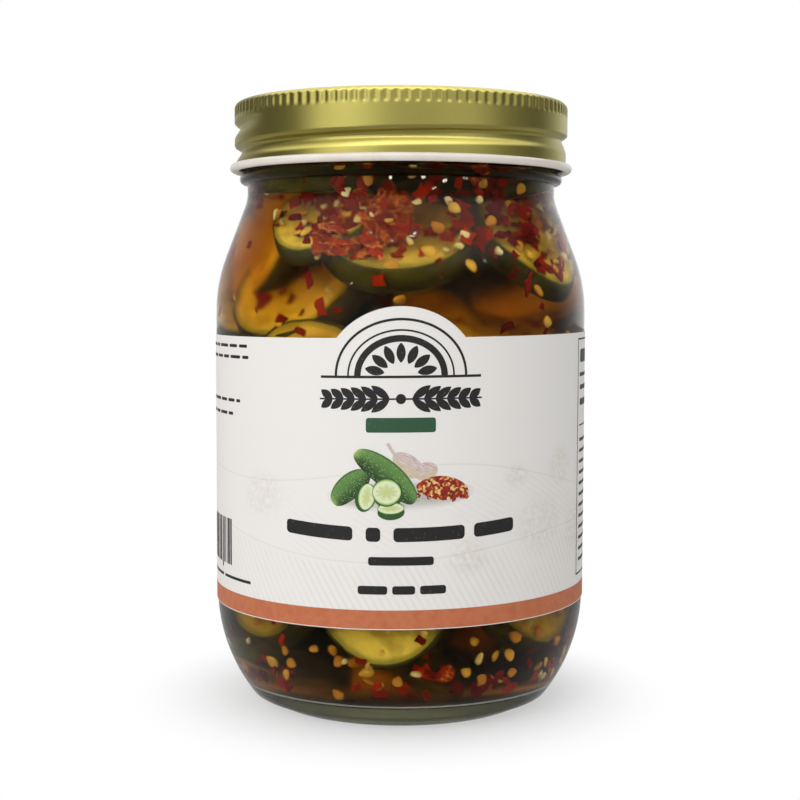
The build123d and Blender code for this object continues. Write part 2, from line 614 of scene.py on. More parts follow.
class PICKLE_JAR_OT_brine(bpy.types.Operator):
    """Brine that fills the glass up to just above the lid's lower edge"""

    bl_idname = "pickle_jar.brine"
    bl_label = "Brine"

    def execute(self, context):
        look = context.scene.jar_colours
        over = context.scene.jar_sizes.brine_overlap
        outline = inner_points(-over)
        mouth_r = outline[-1][0]
        level = [(mouth_r, LEVEL - 0.5 * MM), (mouth_r - 0.35 * MM, LEVEL - 0.25 * MM)]
        level += [(mouth_r - 1.4 * MM, LEVEL), (0, LEVEL)]
        piece = lathe("brine", [*outline, *level], context.scene.jar_sizes.glass_steps)
        smooth(piece, 50)
        brine = Material(
            "brine",
            Transmission_Weight=1.0,
            IOR=1.35,
            Roughness=look.brine_cloud,
            Base_Color=(1, 1, 1),
            Specular_Tint=(0, 0, 0),
        )
        brine.absorb(look.brine, look.brine_depth)
        finish(piece, brine, "pickles_in_brine", "contents")
        return {"FINISHED"}


# ---------------------------------------------------------------- pickle slices


class Slice:
    """Where a slice lies: its middle, its turn, its radius and its thickness."""

    def __init__(self, middle, facing, turn, radius, thickness, held=False):
        self.middle = Vector(middle)
        up = Vector((0, 0, 1)).rotation_difference(Vector(facing).normalized())
        self.turn = up.to_matrix() @ Matrix.Rotation(turn, 3, "Z")
        self.radius, self.thickness, self.held = radius, thickness, held

    def matrix(self):
        size = Matrix.Diagonal((self.radius, self.radius, self.thickness))
        return Matrix.Translation(self.middle) @ (self.turn @ size).to_4x4()


def facing(azimuth, tilt):
    """Direction that points out at an azimuth from the front, tilted up from level."""
    a, t = radians(azimuth), radians(tilt)
    return Vector((sin(a) * cos(t), -cos(a) * cos(t), sin(t)))


def at(azimuth, radius, z):
    a = radians(azimuth)
    return Vector((sin(a) * radius * MM, -cos(a) * radius * MM, z * MM))


def leaning(azimuth, lip, tilt, radius, thickness, turn, inset=0.4):
    """A slice whose cut face looks out and up, with the lowest point of that face near the glass
    at a height. Angles are in degrees and lengths in millimetres."""
    normal = facing(azimuth, tilt)
    down = facing(azimuth, tilt - 90)
    near = at(azimuth, inside_r(lip * MM) / MM - inset, lip)
    middle = near - down * radius * MM - normal * thickness / 2 * MM
    return Slice(middle, normal, radians(turn), radius * MM, thickness * MM, held=True)


def front_slices():
    """The slices that show above and below the front of the label, each by its azimuth, the height
    of its lowest point, its tilt, radius, thickness and turn, and how deep it lies."""
    return [
        leaning(-2.4, 93.4, 61, 14.6, 5.5, 20),
        leaning(-50, 80.4, 48, 14.6, 4.8, 80, 2.8),
        leaning(-31, 55.9, 6, 14.2, 3.2, 10, 1.1),
        leaning(62, 90.5, 46, 13.5, 5.0, 140, 0.6),
        leaning(50, 76.0, 70, 14.2, 5.5, 30, 0.4),
        leaning(14, 61.5, 14, 14.4, 5.4, 200, 17.5),
        leaning(-34, 97.5, 52, 11.0, 4.5, 120, 0.6),
        leaning(-80, 86.5, 21, 14.6, 5.0, 60, 9.5),
        leaning(-5.5, 14.6, 12, 13.6, 5.6, 50, 0.6),
        leaning(-58, 17.0, 20, 14.0, 5.6, 150, 4.5),
        leaning(60, 16.0, 24, 14.0, 5.6, 250, 4.5),
    ]


def loose_slices(rng, sizes):
    """The rest, started in uneven layers: five slices round one in the middle."""
    layers, lowest, rise, ring = 15, 12, 7.1, 5
    found = []
    for layer in range(layers):
        z = lowest + layer * rise
        for k in range(ring + 1):
            azimuth = 360 / ring * k + layer * 47 + rng.uniform(-12, 12)
            out = inside_r(z * MM) / MM - 14.5 if k < ring else 4
            tilt = 90 - abs(rng.normal(0, 28))
            found.append(
                Slice(
                    at(azimuth, out, z),
                    facing(rng.uniform(0, 360), tilt),
                    rng.uniform(0, tau),
                    sizes.slice_radius * rng.uniform(0.85, 1.08),
                    sizes.slice_thickness * rng.uniform(0.85, 1.15),
                )
            )
    return found


def part_slices(slices, rounds=150):
    """Pushes free slices out of the other slices and in from the glass, and returns the slices
    without those that a held one still cuts. Each slice is felt as balls along rings."""
    local, owner, ball = [], [], []
    for i, one in enumerate(slices):
        ring = one.radius - one.thickness / 2
        while ring > 0:
            count = max(1, round(tau * ring / (one.thickness * 1.05)))
            for k in range(count):
                local.append((ring * cos(tau * k / count), ring * sin(tau * k / count), 0))
                owner.append(i)
                ball.append(one.thickness / 2)
            ring -= one.thickness * 0.9
    local, owner, ball = np.array(local), np.array(owner), np.array(ball)
    middles = np.array([one.middle[:] for one in slices])
    turns = np.array([np.array(one.turn) for one in slices])
    free = np.array([not one.held for one in slices])
    reach = (ball[:, None] + ball[None, :]).astype(np.float32)
    other = owner[:, None] != owner[None, :]
    count = len(slices)
    for _ in range(rounds):
        spots = (middles[owner] + np.einsum("nij,nj->ni", turns[owner], local)).astype(np.float32)
        squared = (spots**2).sum(1)
        apart = np.sqrt(np.maximum(squared[:, None] + squared[None, :] - 2 * spots @ spots.T, 1e-12))
        near = (apart < reach) & other
        depth = np.where(near, (reach - apart) / apart, 0)
        push = 0.5 * (depth.sum(1)[:, None] * spots - depth @ spots)
        out = np.hypot(spots[:, 0], spots[:, 1])
        wall = np.interp(spots[:, 2], WALL_HEIGHTS, WALL_RADII)
        past = np.maximum(out - (wall - ball - 0.4 * MM), 0)
        push[:, :2] -= spots[:, :2] / out[:, None] * past[:, None]
        push[:, 2] += np.maximum(FLOOR_Z + FLOOR_RISE + 0.6 * MM + ball - spots[:, 2], 0)
        push[:, 2] -= np.maximum(spots[:, 2] - (LEVEL - 1.5 * MM - ball), 0)
        arm = spots - middles[owner]
        twist = np.cross(arm, push)
        for i in range(count):
            if not free[i]:
                continue
            mine = owner == i
            touched = max(1, (np.abs(push[mine]).sum(1) > 1e-7).sum())
            middles[i] += 0.9 * push[mine].sum(0) / touched
            spin = twist[mine].sum(0) / (touched * slices[i].radius ** 2 * 0.4)
            angle = float(np.linalg.norm(spin))
            if angle > 1e-6:
                turns[i] = np.array(Matrix.Rotation(min(angle, 0.2), 3, Vector(spin))) @ turns[i]
    for one, middle, turn in zip(slices, middles, turns):
        one.middle, one.turn = Vector(middle), Matrix(turn.tolist())
    cut = np.where(near & ~free[owner][None, :], reach - apart, 0).max(axis=1)
    deep = {int(owner[k]) for k in np.flatnonzero(cut > 1.6 * MM) if free[owner[k]]}
    return [one for i, one in enumerate(slices) if i not in deep]


def slice_model(name, rng):
    """One slice, a unit in radius and thickness: a disc with rounded edges and an uneven rind."""
    let_go()
    bpy.ops.mesh.primitive_cylinder_add(vertices=44, radius=1, depth=1, location=(0, 0, 0))
    piece = named(name)
    edit_faces(piece, lambda face: abs(face.normal.z) > 0.9)
    for width in (0.05, 0.2, 0.25, 0.25):
        bpy.ops.mesh.inset(thickness=width, use_individual=False)
    bpy.ops.mesh.poke()
    bpy.ops.mesh.select_all(action="DESELECT")
    done()
    for edge in piece.data.edges:
        a, b = (piece.data.vertices[i].co for i in edge.vertices)
        edge.select = abs(a.z - b.z) < 1e-4 and hypot(a.x, a.y) > 0.999 and hypot(b.x, b.y) > 0.999
    bpy.ops.object.mode_set(mode="EDIT")
    bpy.ops.mesh.select_mode(type="EDGE")
    bpy.ops.mesh.bevel(offset=0.05, segments=2, affect="EDGES")
    bpy.ops.mesh.select_mode(type="VERT")
    done()
    points = points_of(piece)
    seed = rng.uniform(0, 50)
    around = np.arctan2(points[:, 1], points[:, 0])
    out = np.hypot(points[:, 0], points[:, 1])
    unworn = points.copy()
    for i, point in enumerate(points):
        a, r = around[i], out[i]
        wobble = 0.035 * noise.noise(Vector((cos(a) * 1.3 + seed, sin(a) * 1.3, 0)))
        wobble += 0.02 * noise.noise(Vector((cos(a) * 6 + seed, sin(a) * 6, point[2] * 2)))
        oval = 1 + 0.04 * cos(2 * (a + seed))
        point[0] *= (1 + wobble) * oval
        point[1] *= (1 + wobble) / oval
        dish = 0.10 * noise.noise(Vector((point[0] * 1.1 + seed, point[1] * 1.1, 3)))
        dish -= 0.10 * (point[2] > 0 and 1 or -1) * max(0, 0.62 - r) * (0.7 + 0.3 * cos(3 * a + seed))
        point[2] += dish
    move_points(piece, points)
    keep_place(piece, unworn)
    smooth(piece, 50)
    return piece


def scatter(name, models, matrices, rng):
    """Copies of the models, one for each matrix, each with a random tone, joined as one piece."""
    copies = []
    for k, matrix in enumerate(matrices):
        copy = models[k % len(models)].copy()
        copy.data = copy.data.copy()
        bpy.context.scene.collection.objects.link(copy)
        copy.data.transform(matrix)
        tone = copy.data.attributes.new("tone", "FLOAT", "POINT")
        tone.data.foreach_set("value", np.full(len(copy.data.vertices), rng.uniform(0, 1), np.float32))
        copies.append(copy)
    piece = joined(name, copies)
    for model in models:
        bpy.data.objects.remove(model)
    return piece


def keep_inside(piece, gap):
    """Draws points that lie in the glass back into the brine."""
    points = points_of(piece)
    points[:, 2] = np.clip(points[:, 2], FLOOR_Z + 0.2 * MM, LEVEL - gap)
    limit = np.interp(points[:, 2], WALL_HEIGHTS, WALL_RADII) - gap
    out = np.hypot(points[:, 0], points[:, 1])
    scale = np.minimum(1, limit / np.maximum(out, 1e-9))
    points[:, :2] *= scale[:, None]
    out = np.hypot(points[:, 0], points[:, 1])
    floor = np.interp(out, FLOOR_RADII, FLOOR_HEIGHTS) + gap
    points[:, 2] = np.maximum(points[:, 2], floor)
    move_points(piece, points)


def sink(piece, material, gap=0.25 * MM):
    """Keeps a scattered piece in the brine and finishes it."""
    keep_inside(piece, gap)
    finish(piece, material, "pickles_in_brine", "contents")


def slice_material(look):
    made = Material("pickle", Roughness=0.45, Specular_IOR_Level=0.0)
    place = made.attribute("cut_place", "Vector")
    tone = made.attribute("tone")
    x, y, z = made.xyz(place)
    out = (x * x + y * y) ** 0.5
    shift = made.add("ShaderNodeCombineXYZ", None, {0: tone * 40})
    shifted = made.vectors("ADD", place, shift)
    mottle = made.noise(3.2, 3, shifted)
    fine = made.noise(14, 2, shifted)
    flesh = tuple(look.flesh)
    core = made.mix(mottle.ramp(0.3, 0.7), srgb(196, 170, 76), srgb(176, 150, 58))
    flesh_mix = made.mix(mottle.ramp(0.35, 0.7), flesh, srgb(190, 160, 70))
    lobes = (y.angle(x) * 3 + tone * 9).wave() * 0.05 + 0.6
    inner = (out - lobes).ramp(-0.04, 0.03, 1, 0)
    face = made.mix(inner * 0.75, flesh_mix, core)
    seeds = made.cells(shifted, Scale=7.0, Randomness=0.7)
    seed_mask = seeds.ramp(0.16, 0.24, 1, 0) * abs(out - 0.38).ramp(0.12, 0.2, 1, 0)
    face = made.mix(seed_mask * 0.6, face, srgb(222, 204, 132))
    warm = made.mix(tone.ramp(0.25, 0.8), face, made.mix(0.45, face, srgb(214, 140, 34)))
    rim = (out + fine * 0.03).ramp(0.86, 0.95)
    warm = made.mix(rim * 0.65, warm, srgb(128, 120, 40))
    warts = made.cells(shifted, Scale=9.0, Randomness=0.9)
    skin = made.mix(mottle.ramp(0.3, 0.7), tuple(look.skin), srgb(78, 70, 22))
    skin = made.mix(warts.ramp(0.1, 0.3, 0.55, 0), skin, srgb(112, 108, 44))
    made.set(Base_Color=made.mix(out.ramp(0.945, 0.975), warm, skin))
    made.bump(warts * 0.5 + fine * 0.6, 0.3 * MM, 0.5)
    return made


def in_front_window(middle):
    """Whether a place shows just behind the glass in front, above or below the label."""
    out = hypot(middle.x, middle.y)
    azimuth = abs(atan2(middle.x, -middle.y))
    high = middle.z > 83 * MM and out > 9 * MM and azimuth < radians(62)
    low = middle.z < 27 * MM and out > 18 * MM and azimuth < radians(75)
    return high or low


class PICKLE_JAR_OT_slices(bpy.types.Operator):
    """Pickle slices: those that show in front where they lie, the rest packed round them"""

    bl_idname = "pickle_jar.slices"
    bl_label = "Pickle slices"

    def execute(self, context):
        rng = np.random.default_rng(7)
        slices = front_slices() + loose_slices(rng, context.scene.jar_sizes)
        near = [one for one in slices if one.held]

        def stays(one):
            clear = min((one.middle - other.middle).length for other in near) > 9 * MM
            return one.held or (clear and not in_front_window(one.middle))

        slices = [one for one in slices if stays(one)]
        slices = part_slices(slices)
        models = [slice_model(f"slice_{k}", rng) for k in range(4)]
        piece = scatter("pickle_slices", models, [s.matrix() for s in slices], rng)
        sink(piece, slice_material(context.scene.jar_colours))
        return {"FINISHED"}


# ---------------------------------------------------------------- spices in the brine


def turned(place, rng, size, normal=None, loose=1.0):
    """Matrix that puts a small thing at a place, turned at random or near a normal."""
    if normal is None:
        axis = Vector(rng.normal(0, 1, 3)).normalized()
        turn = Matrix.Rotation(rng.uniform(0, tau), 3, axis)
    else:
        lean = Vector(rng.normal(0, 0.25 * loose, 3))
        turn = Vector((0, 0, 1)).rotation_difference((normal + lean).normalized()).to_matrix()
        turn = turn @ Matrix.Rotation(rng.uniform(0, tau), 3, "Z")
    return Matrix.Translation(place) @ (turn @ Matrix.Diagonal(size)).to_4x4()


def wall_spot(azimuth, z, depth):
    """A place at a depth in from the glass, in millimetres, and the way out from there."""
    a = radians(azimuth)
    r = inside_r(z * MM) - depth * MM
    return Vector((sin(a) * r, -cos(a) * r, z * MM)), Vector((sin(a), -cos(a), 0))


def top_spots(rng, one, count, spread=0.92, lift=0.5):
    """Places on the side of a slice that faces up."""
    normal = one.turn @ Vector((0, 0, 1))
    if normal.z < 0:
        normal = -normal
    spots = []
    for _ in range(count):
        r, a = one.radius * spread * sqrt(rng.uniform(0, 1)), rng.uniform(0, tau)
        flat = one.turn @ Vector((r * cos(a), r * sin(a), 0))
        spots.append((one.middle + flat + normal * (one.thickness / 2 + lift * MM), normal))
    return spots


def spice_spots(rng, count, low_share=0.3, top_share=0.3):
    """Places all round next to the glass, more of them at the top and the bottom and few at the
    left shoulder."""
    found = []
    for _ in range(count):
        pick = rng.uniform(0, 1)
        azimuth = rng.uniform(0, 360)
        if pick < low_share:
            z = 8 + abs(rng.normal(0, 4.5))
        elif pick < low_share + top_share:
            z = rng.uniform(93, 114)
        else:
            z = rng.uniform(12, 112)
        bare = 284 < azimuth < 322 and z > 80 and rng.uniform(0, 1) < 0.8
        if not bare:
            found.append(wall_spot(azimuth, z, 0.7 + abs(rng.normal(0, 2.6))))
    return found


def flake_model(name, rng, width):
    let_go()
    bpy.ops.mesh.primitive_grid_add(x_subdivisions=3, y_subdivisions=2, size=1, location=(0, 0, 0))
    piece = named(name)
    points = points_of(piece)
    seed = rng.uniform(0, 90)
    for point in points:
        point[1] *= width
        for k in (0, 1):
            point[k] += 0.26 * noise.noise(Vector((point[0] * 3 + seed, point[1] * 3, k * 5)))
        ripple = noise.noise(Vector((point[0] * 2 + seed, point[1] * 2, 9)))
        point[2] = 0.22 * point[0] ** 2 + 0.12 * ripple
    move_points(piece, points)
    apply(piece, "SOLIDIFY", thickness=0.13, offset=0)
    smooth(piece, 40)
    return piece


def seed_model(name):
    """Flat pepper seed with a blunt point."""
    let_go()
    bpy.ops.mesh.primitive_uv_sphere_add(segments=10, ring_count=6, radius=0.5, location=(0, 0, 0))
    piece = named(name)
    points = points_of(piece)
    points[:, 0] *= 1 - 0.55 * np.clip(points[:, 1] + 0.1, 0, 1) * 1.4
    points[:, 1] *= 1.15
    points[:, 2] *= 0.42
    move_points(piece, points)
    smooth(piece, 80)
    return piece


def crumb_model(name, rng):
    """Chopped bit with uneven corners."""
    let_go()
    bpy.ops.mesh.primitive_ico_sphere_add(subdivisions=2, radius=0.55, location=(0, 0, 0))
    piece = named(name)
    seed = rng.uniform(0, 90)
    points = points_of(piece)
    for point in points:
        point *= 0.55 / max(abs(point)) ** 0.45 / 1.1
        point += 0.3 * np.array(noise.noise_vector(Vector(point * 1.8) + Vector((seed, 0, 0))))
    move_points(piece, points)
    smooth(piece, 60)
    return piece


def shred_model(name, rng):
    """Soft shred of red pepper: a lump drawn out and folded."""
    let_go()
    bpy.ops.mesh.primitive_ico_sphere_add(subdivisions=4, radius=0.5, location=(0, 0, 0))
    piece = named(name)
    seed = rng.uniform(0, 90)
    points = points_of(piece)
    for point in points:
        point[2] *= 0.35
        point += 0.22 * np.array(noise.noise_vector(Vector(point * 1.8) + Vector((seed, 0, 0))))
        point += 0.12 * np.array(noise.noise_vector(Vector(point * 6) + Vector((seed, 7, 0))))
    move_points(piece, points)
    smooth(piece, 80)
    return piece


def spice_material(name, light, dark, scale):
    made = Material(name, Roughness=0.35, Specular_IOR_Level=0.0)
    tone = made.attribute("tone")
    grain = made.noise(scale, 3)
    base = made.mix(tone, light, dark)
    base = made.mix(grain.ramp(0.3, 0.72), base, made.mix(0.55, base, dark))
    made.set(Base_Color=base)
    made.bump(grain, 0.15 * MM, 0.6)
    return made


def make_flakes(rng, look, fronts):
    spots = spice_spots(rng, 430, 0.3, 0.28)
    for one, count in zip(fronts, (20, 9, 2, 22, 9, 3, 14, 3, 4, 5, 5)):
        spots += top_spots(rng, one, count)
    for _ in range(70):
        spots.append(wall_spot(rng.normal(42, 14), rng.uniform(96, 113), rng.uniform(2.5, 7)))
    for _ in range(26):
        spots.append(wall_spot(rng.normal(-32, 10), rng.uniform(101, 113), rng.uniform(0.7, 5)))
    flakes = []
    for place, normal in spots:
        size = rng.uniform(1.5, 3.5) * MM
        flakes.append(turned(place, rng, (size, size, size), normal, 1.6))
    models = [flake_model(f"flake_{k}", rng, w) for k, w in enumerate((0.62, 0.8, 0.5, 1.0, 0.7))]
    piece = scatter("pepper_flakes", models, flakes, rng)
    red = spice_material("red_pepper", tuple(look.pepper), srgb(88, 10, 2), 900)
    sink(piece, red)


def make_seeds(rng, look, fronts):
    spots = spice_spots(rng, 220, 0.42, 0.18)
    for one, count in zip(fronts, (5, 2, 0, 6, 3, 1, 7, 1, 1, 4, 4)):
        spots += top_spots(rng, one, count, lift=0.9)
    seeds = []
    for place, normal in spots:
        size = rng.uniform(2.0, 2.9) * MM
        seeds.append(turned(place, rng, (size, size, size), normal, 2.2))
    piece = scatter("pepper_seeds", [seed_model("seed")], seeds, rng)
    pale = spice_material("seed", tuple(look.seed), srgb(186, 116, 32), 500)
    sink(piece, pale)


def make_garlic(rng, look, fronts):
    spots = spice_spots(rng, 80, 0.25, 0.45)
    for one, count in zip(fronts, (4, 2, 0, 4, 2, 1, 6, 0, 1, 1, 1)):
        spots += top_spots(rng, one, count, lift=1.0)
    bits = [turned(p, rng, [rng.uniform(1.2, 2.9) * MM for _ in range(3)]) for p, _ in spots]
    models = [crumb_model(f"crumb_{k}", rng) for k in range(3)]
    piece = scatter("garlic_bits", models, bits, rng)
    cream = spice_material("garlic", tuple(look.garlic), srgb(214, 190, 120), 300)
    sink(piece, cream)


def make_shreds(rng, fronts):
    """Heap of red shreds on the first slice in front, and a few elsewhere."""
    heap = []
    first = fronts[0]
    normal = first.turn @ Vector((0, 0, 1))
    down = facing(-1.6, 61 - 90)
    for _ in range(42):
        across = Vector((rng.uniform(-14.5, 0.5), 0, 0)) * MM
        spot = first.middle + across + down * rng.uniform(-14, 9.5) * MM
        spot += normal * (first.thickness / 2 + rng.uniform(0.4, 3.8) * MM)
        size = Vector((rng.uniform(6, 11), rng.uniform(4, 7), rng.uniform(3.5, 6))) * MM
        heap.append(turned(spot, rng, size, normal, 1.0))
    for _ in range(30):
        place, out = wall_spot(rng.uniform(-21, 2), rng.uniform(99, 109), rng.uniform(3.2, 6.5))
        size = Vector((rng.uniform(5, 8.5), rng.uniform(3.5, 6), rng.uniform(2.5, 4))) * MM
        heap.append(turned(place, rng, size, out, 1.2))
    for place, out in spice_spots(rng, 16, 0.3, 0.5):
        heap.append(turned(place - out * 2 * MM, rng, (5 * MM, 3.5 * MM, 3 * MM), out, 1.5))
    models = [shred_model(f"shred_{k}", rng) for k in range(3)]
    piece = scatter("pepper_shreds", models, heap, rng)
    made = Material("pepper_flesh", Roughness=0.3, Specular_IOR_Level=0.02)
    veins = made.noise(420, 4, rough=0.6)
    folds = made.noise(230, 3, rough=0.7)
    base = made.mix(veins.ramp(0.36, 0.64), srgb(92, 10, 3), srgb(172, 48, 8))
    base = made.mix(made.attribute("tone") * 0.55, base, srgb(128, 26, 16))
    # Painted highlight: thin pale orange lines along the folds of the shreds.
    base = made.mix(abs(folds - 0.5).ramp(0.0, 0.035, 0.75, 0), base, srgb(222, 140, 54))
    made.set(Base_Color=base)
    made.bump(veins, 0.3 * MM, 0.6)
    sink(piece, made)


# Bubbles that show in front: azimuth, height, size, and height as a share of the size. The flat ones
# high up at the neck show mostly as painted glints.
FRONT_BUBBLES = (
    (4.2, 100.8, 2.2, 0.7),
    (-28, 113.2, 0.8, 0.3),
    (8, 112.6, 1.1, 0.22),
    (16, 111.8, 1.0, 0.22),
    (24, 112.4, 0.9, 0.22),
    (31, 111.6, 0.8, 0.25),
    (12, 110.2, 0.9, 0.3),
    (-4, 112.3, 0.9, 0.25),
    (27, 95.4, 0.9, 0.6),
    (-15, 91.0, 0.7, 0.5),
    (-22, 88.0, 0.6, 0.5),
    (-3, 99.3, 0.7, 0.4),
    (-10, 100.9, 0.6, 0.5),
)


def make_bubbles(rng):
    drops = []
    for azimuth, z, size, flat in FRONT_BUBBLES:
        place, out = wall_spot(azimuth, z, 0.5)
        drops.append(turned(place, rng, (size * 1.25 * MM, size * MM, size * flat * MM), out, 0.2))
    for _ in range(60):
        place, out = wall_spot(rng.uniform(0, 360), rng.uniform(85, 114), 0.4)
        size = rng.uniform(0.2, 0.5) * MM
        drops.append(turned(place, rng, (size, size, size * 0.6), out, 0.2))
    let_go()
    bpy.ops.mesh.primitive_uv_sphere_add(segments=14, ring_count=8, radius=0.5, location=(0, 0, 0))
    bead = named("bubble")
    edit(bead)
    bpy.ops.mesh.subdivide(number_cuts=1, smoothness=1.0)
    done()
    smooth(bead, 180)
    piece = scatter("bubbles", [bead], drops, rng)
    # Bubbles are drawn with painted light: a dark brown rim of painted shade, and a painted glint that
    # glows where the surface faces the viewer.
    air = Material("bubble", Roughness=0.05, Base_Color=srgb(70, 48, 16), Specular_IOR_Level=0.3)
    facing_out = air.add("ShaderNodeLayerWeight", {}, {"Blend": 0.5}, output="Facing")
    # The glint is a painted highlight in the middle of each bubble.
    glint = facing_out.ramp(0.006, 0.03, 1, 0)
    film = air.mix(air.noise(700).ramp(0.4, 0.6), srgb(82, 58, 22), srgb(54, 36, 12))
    air.set(Base_Color=film, Alpha=(facing_out.ramp(0.3, 0.75, 0.1, 0.85)).at_least(glint))
    air.set(Emission_Color=air.mix(glint, (0, 0, 0), (0.9, 0.86, 0.74)), Emission_Strength=1.0)
    sink(piece, air, 0.1 * MM)


class PICKLE_JAR_OT_spices(bpy.types.Operator):
    """Red pepper flakes and shreds, seeds, garlic and small bubbles in the brine"""

    bl_idname = "pickle_jar.spices"
    bl_label = "Spices"

    def execute(self, context):
        rng = np.random.default_rng(21)
        fronts = front_slices()
        look = context.scene.jar_colours
        make_flakes(rng, look, fronts)
        make_seeds(rng, look, fronts)
        make_garlic(rng, look, fronts)
        make_shreds(rng, fronts)
        make_bubbles(rng)
        return {"FINISHED"}


# ---------------------------------------------------------------- lid


def step(low, high, value):
    t = np.clip((value - low) / (high - low), 0, 1)
    return t * t * (3 - 2 * t)


def thread_press(around, z, sizes):
    """How deep the thread is pressed in, at an angle round from +X in degrees and a height."""
    deepest = np.zeros_like(z)
    for lap in (-360, 0, 360):
        a = around + lap
        middle = LID_Z + 5.65 * MM + sizes.thread_pitch * (a + 90) / 360
        off = (z - middle) / MM
        shape = np.where(off > 0, 1 - step(0.1, 1.15, off), 1 - step(0.0, 2.7, -off))
        ends = step(-222, -190, a) * (1 - step(196, 222, a))
        deepest = np.maximum(deepest, shape * ends)
    return deepest * sizes.thread_depth


class PICKLE_JAR_OT_lid(bpy.types.Operator):
    """Screw lid of lacquered metal with a knurled edge, a pressed thread and a rolled edge"""

    bl_idname = "pickle_jar.lid"
    bl_label = "Lid"

    def execute(self, context):
        sizes, look = context.scene.jar_sizes, context.scene.jar_colours
        corner, drop = LID_CORNER, PANEL_DROP
        panel_r = NECK_R - WALL - 0.9 * MM
        top = LID_TOP
        outer = [(0, top - drop), (panel_r * 0.35, top - drop), (panel_r * 0.75, top - drop)]
        outer += [(panel_r - drop - 0.4 * MM, top - drop), (panel_r - drop, top - drop + 0.05 * MM)]
        outer += [(panel_r - drop * 0.5, top - drop * 0.5), (panel_r - 0.05 * MM, top - 0.08 * MM)]
        outer += [(panel_r + 0.3 * MM, top), (LID_R - corner - 0.3 * MM, top)]
        outer += [(LID_R - corner, top), *arc((LID_R - corner, top - corner), corner, pi / 2, 0, 6)]
        break_z = LID_Z + 5.8 * MM
        z = top - corner
        low_z = LID_Z + 0.9 * MM
        count = 34
        for k in range(1, count + 1):
            here = z + (low_z - z) * k / count
            outer.append((LID_R - 0.3 * MM * float(step(0, 1.0 * MM, break_z - here)), here))
        inner = [(r - TIN, max(h, LID_Z + 0.9 * MM)) for r, h in outer if h <= top - corner + 1e-7]
        inner = inner[::-1]
        inner += [(LID_R - corner - TIN, top - TIN - 0.1 * MM), (panel_r, top - TIN)]
        inner += [(panel_r - drop - TIN * 0.4, top - drop - TIN), (0, top - drop - TIN)]
        shell = lathe("lid_shell", [*outer, *inner], sizes.knurl_count * 8)
        points = points_of(shell)
        out = np.hypot(points[:, 0], points[:, 1])
        angle = np.arctan2(points[:, 1], points[:, 0])
        height = points[:, 2]
        on_skirt = (out > LID_R - corner - 0.2 * MM) & (height < top - corner + 1e-7)
        press = np.where(on_skirt, thread_press(np.degrees(angle), height, sizes), 0)
        new = out - press
        pitch = tau / sizes.knurl_count
        across = (np.mod(angle, pitch) / pitch - 0.5) * pitch * LID_R
        half = KNURL_W / 2
        flute = np.clip(1 - (across / half) ** 2, 0, 1) * sizes.knurl_depth
        flute *= step(top - 3.3 * MM, top - 2.8 * MM, height)
        outside = out > LID_R - corner + 0.05 * MM
        new = np.where(outside & (height > top - 3.4 * MM), np.minimum(new, LID_R - flute), new)
        is_inner = out < LID_R - TIN * 0.9
        new = np.where(is_inner, out - press, new)
        scale = new / np.maximum(out, 1e-9)
        scale = np.where(out < 1e-6, 1, scale)
        points[:, 0] *= scale
        points[:, 1] *= scale
        move_points(shell, points)
        smooth(shell, 60)
        gold = Material("gold_lacquer", Metallic=1.0, Roughness=0.3)
        place = gold.place()
        patch = gold.noise(60, 3, place)
        fine = gold.noise(1400, 2, place)
        base = gold.mix(patch.ramp(0.3, 0.75) * 0.35, tuple(look.gold), srgb(160, 150, 74))
        gold.set(Base_Color=base, Roughness=(0.27 + patch * 0.06 + fine * 0.04))
        gold.bump(gold.noise(90, 2, place) + fine * 0.06, 0.12 * MM, 0.35)
        finish(shell, gold, "gold_lacquered_metal", "lid")

        let_go()
        roll_r = CURL_H / 2
        bpy.ops.mesh.primitive_torus_add(
            major_segments=240,
            minor_segments=20,
            major_radius=LID_R + CURL_OUT - roll_r,
            minor_radius=roll_r,
            location=(0, 0, LID_Z + roll_r),
        )
        roll = named("lid_rolled_edge")
        settle_place(roll)
        points = points_of(roll)
        out = np.hypot(points[:, 0], points[:, 1])
        tuck = 1 - 0.35 * MM * step(0.0, roll_r, LID_R + CURL_OUT - roll_r - out) / out
        points[:, :2] *= tuck[:, None]
        move_points(roll, points)
        smooth(roll, 80)
        enamel = Material("cream_enamel", Roughness=0.3, Coat_Weight=0.3)
        wear = enamel.noise(160, 3)
        worn = enamel.mix(wear.ramp(0.35, 0.75) * 0.5, tuple(look.roll), srgb(214, 204, 190))
        enamel.set(Base_Color=worn)
        enamel.bump(enamel.noise(300, 2), 0.1 * MM, 0.25)
        finish(roll, enamel, "gold_lacquered_metal", "lid")
        return {"FINISHED"}


# ---------------------------------------------------------------- label


def wrap(s, v, lift):
    """Place on the jar of a point on the flat label."""
    a = s / LABEL_R - pi / 2
    r = LABEL_R + lift
    x = r * cos(a)
    return x, r * sin(a), v + x * tan(LABEL_TILT)


def label_end():
    return LABEL_R * (pi - asin(LABEL_GAP / 2 / LABEL_R))


def label_top(s):
    arch_r = (TAB_HALF**2 + TAB_H**2) / (2 * TAB_H)
    if abs(s) >= TAB_HALF:
        return LABEL_V1
    return max(LABEL_V1, LABEL_V1 + TAB_H - arch_r + sqrt(arch_r**2 - s**2))


def printed(name):
    """Paper or ink before its colour is set."""
    return Material(name, Roughness=0.5, Specular_IOR_Level=0.35)


# Trees on the label: their place on the flat sheet and their size, in millimetres.
TREES = (
    (-31, 48.5, 7.5),
    (31.5, 42.0, 9.0),
    (38.5, 53.5, 6.0),
    (25, 52.5, 4.0),
    (47, 40, 8.0),
    (14, 37.0, 6.0),
    (-80, 47, 8),
    (84, 50, 8),
    (108, 43, 7),
    (-104, 44, 8),
)


